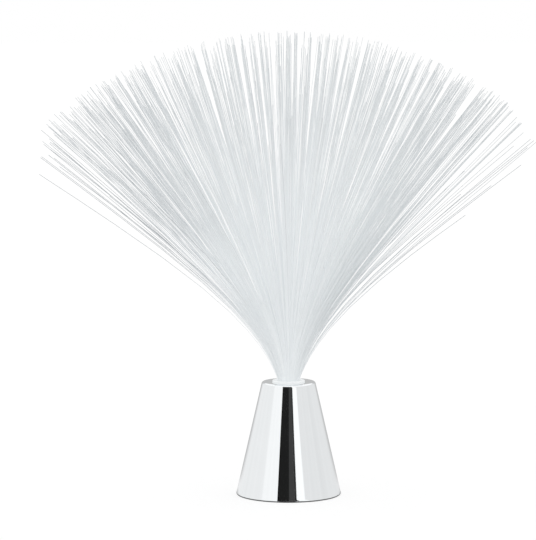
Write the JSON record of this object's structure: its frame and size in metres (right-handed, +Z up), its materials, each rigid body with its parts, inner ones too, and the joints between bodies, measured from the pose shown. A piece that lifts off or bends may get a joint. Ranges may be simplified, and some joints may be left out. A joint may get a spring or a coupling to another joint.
{
  "type": "fiber optic lamp",
  "caption": "Battery table lamp: a bright plated cone holds a light under a bundle of clear plastic fibres that spread into a dome and glow at their tips.",
  "frame": {"origin": "on the lamp's axis, in the plane that the rim of its base stands on; the middle of the underside of its box", "axes": "+Z up along the axis, +X towards the switch on the underside, +Y towards the latch end of the battery door"},
  "size_m": [0.355, 0.364, 0.33],
  "materials": {
    "chrome_plated_abs": "mirror-bright chrome plating on moulded ABS",
    "black_abs": "fine moulded texture",
    "black_abs_knob": "satin, grooved",
    "white_abs": "semi-gloss moulded",
    "clear_fibre": "clear drawn acrylic fibre",
    "clear_acrylic": "clear resin, polished end",
    "nickel_steel": "nickel plated",
    "cell_can": "plain wrapped can",
    "board_green": "solder-masked board",
    "led_white": "moulded package",
    "lead_red": "insulation",
    "lead_black": "insulation"
  },
  "bodies": {
    "lamp": {"base_plate": "black_abs", "base_screw_1": "nickel_steel", "base_screw_2": "nickel_steel", "battery_cell_1": "cell_can", "battery_cell_2": "cell_can", "battery_cell_3": "cell_can", "circuit_board": "board_green", "cone_shell": "chrome_plated_abs", "contact_bridge_1": "nickel_steel", "contact_bridge_2": "nickel_steel", "contact_negative": "nickel_steel", "contact_positive": "nickel_steel", "contact_spring_1": "nickel_steel", "contact_spring_2": "nickel_steel", "contact_spring_3": "nickel_steel", "ferrule": "white_abs", "ferrule_socket": "white_abs", "fibre_plug": "clear_acrylic", "fibre_tuft_01": "clear_fibre", "fibre_tuft_02": "clear_fibre", "fibre_tuft_03": "clear_fibre", "fibre_tuft_04": "clear_fibre", "fibre_tuft_05": "clear_fibre", "fibre_tuft_06": "clear_fibre", "fibre_tuft_07": "clear_fibre", "fibre_tuft_08": "clear_fibre", "fibre_tuft_09": "clear_fibre", "fibre_tuft_10": "clear_fibre", "fibre_tuft_11": "clear_fibre", "fibre_tuft_12": "clear_fibre", "lead_negative": "lead_black", "lead_positive": "lead_red", "lead_switch": "lead_red", "led": "led_white", "switch_body": "nickel_steel"},
    "battery_door": {"battery_door": "black_abs"},
    "switch_slider": {"switch_slider": "black_abs_knob"}
  },
  "joints": [
    {"name": "door_hinge", "type": "hinge", "parent": "lamp", "child": "battery_door", "pos_m": [0, -0.0247, 0.0023], "axis": [-1, 0, 0], "range_deg": [0, 95]},
    {"name": "switch_slide", "type": "slide", "parent": "lamp", "child": "switch_slider", "axis": [0, 1, 0], "range_m": [0, 0.002]}
  ]
}
